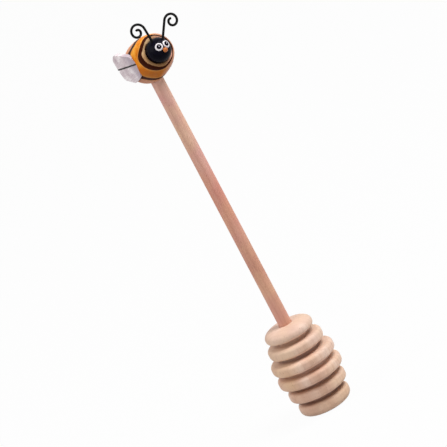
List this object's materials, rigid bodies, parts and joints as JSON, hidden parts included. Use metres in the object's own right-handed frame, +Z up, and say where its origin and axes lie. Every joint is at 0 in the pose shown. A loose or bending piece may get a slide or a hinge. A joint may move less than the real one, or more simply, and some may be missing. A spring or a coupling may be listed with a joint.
{
  "type": "honey dipper",
  "caption": "Honey dipper with a grooved wooden head, a slim dowel handle and a painted wooden bee with wings and wire antennae on top.",
  "frame": {"origin": "centre of the dipper head's flat underside", "axes": "+Z up along the handle, and the bee faces -Y"},
  "size_m": [0.032, 0.0397, 0.2106],
  "materials": {
    "turned_beech": "smooth turned, unvarnished",
    "dowel_beech": "smooth sanded, unvarnished",
    "body_paint": "painted by hand, satin",
    "head_paint": "painted, gloss",
    "wing_paint": "painted, satin",
    "antenna_wire": "black coated wire",
    "eye_paint": "raised paint dot",
    "pupil_paint": "raised paint dot",
    "nose_paint": "raised paint bead"
  },
  "bodies": {
    "root": {"dipper_head": "turned_beech", "handle_dowel": "dowel_beech", "bee_body": "body_paint", "bee_head": "head_paint", "right_wing": "wing_paint", "left_wing": "wing_paint", "right_antenna": "antenna_wire", "left_antenna": "antenna_wire", "right_eye": "eye_paint", "left_eye": "eye_paint", "right_pupil": "pupil_paint", "left_pupil": "pupil_paint", "nose": "nose_paint"}
  },
  "joints": []
}
